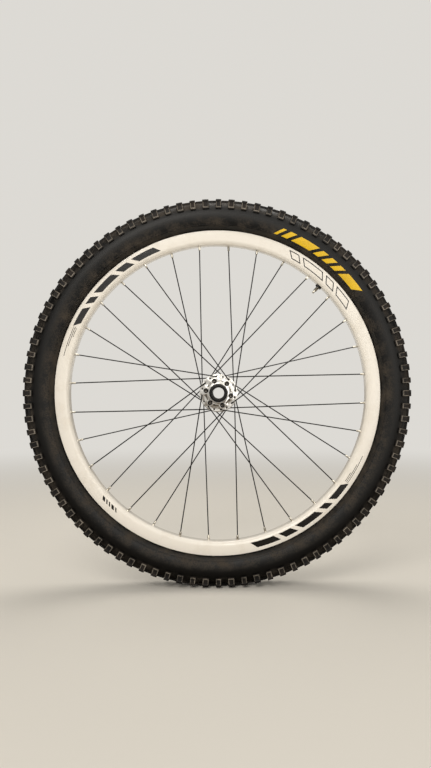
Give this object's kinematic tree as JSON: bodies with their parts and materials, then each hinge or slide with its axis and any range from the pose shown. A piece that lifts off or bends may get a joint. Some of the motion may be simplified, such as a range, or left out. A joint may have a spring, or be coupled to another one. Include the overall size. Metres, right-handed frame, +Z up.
{
  "type": "bicycle wheel",
  "caption": "Front wheel of a mountain bicycle: knobbly tyre on a white double-wall rim, crossed wire spokes, and a hub with a through-axle bore and a rotor mount.",
  "frame": {"origin": "middle of the wheel, on the axle's centre line and halfway between the hub's end faces", "axes": "+Y along the axle away from the rotor side, +Z up, valve between +X and +Z"},
  "size_m": [0.6806, 0.11, 0.6806],
  "materials": {
    "tyre": "black moulded rubber",
    "white_rim": "gloss white paint on aluminium",
    "rim_tape": "thin plastic tape",
    "valve_stem": "plated brass",
    "black_metal": "black anodised",
    "valve_core": "turned brass",
    "nipples": "plated brass",
    "hub": "polished and clear anodised",
    "bolts": "black oxide",
    "bearing_steel": "ground steel",
    "sleeve": "turned",
    "end_caps": "black anodised",
    "spokes": "black oxide"
  },
  "bodies": {
    "axle": {"axle_sleeve": "sleeve", "bearing_inner_races": "bearing_steel", "end_cap_rotor_side": "end_caps", "end_cap_far_side": "end_caps"},
    "wheel": {"tyre": "tyre", "rim": "white_rim", "rim_tape": "rim_tape", "valve_stem": "valve_stem", "valve_nut": "black_metal", "valve_core": "valve_core", "spoke_nipples": "nipples", "hub_shell": "hub", "rotor_bolts": "bolts", "bearing_outer_races": "bearing_steel", "spoke_01": "spokes", "spoke_02": "spokes", "spoke_03": "spokes", "spoke_04": "spokes", "spoke_05": "spokes", "spoke_06": "spokes", "spoke_07": "spokes", "spoke_08": "spokes", "spoke_09": "spokes", "spoke_10": "spokes", "spoke_11": "spokes", "spoke_12": "spokes", "spoke_13": "spokes", "spoke_14": "spokes", "spoke_15": "spokes", "spoke_16": "spokes", "spoke_17": "spokes", "spoke_18": "spokes", "spoke_19": "spokes", "spoke_20": "spokes", "spoke_21": "spokes", "spoke_22": "spokes", "spoke_23": "spokes", "spoke_24": "spokes", "spoke_25": "spokes", "spoke_26": "spokes", "spoke_27": "spokes", "spoke_28": "spokes", "spoke_29": "spokes", "spoke_30": "spokes", "spoke_31": "spokes", "spoke_32": "spokes"},
    "ball_sets": {"bearing_ball_cages": "bearing_steel"}
  },
  "joints": [
    {"name": "wheel_spin", "type": "hinge", "parent": "axle", "child": "wheel", "pos_m": [0, 0, 0], "axis": [0, 1, 0], "continuous": true},
    {"name": "ball_sets_spin", "type": "hinge", "parent": "axle", "child": "ball_sets", "pos_m": [0, 0, 0], "axis": [0, 1, 0], "continuous": true}
  ],
  "couplings": [
    {"joint": "ball_sets_spin", "follows": "wheel_spin", "ratio": 0.567}
  ]
}
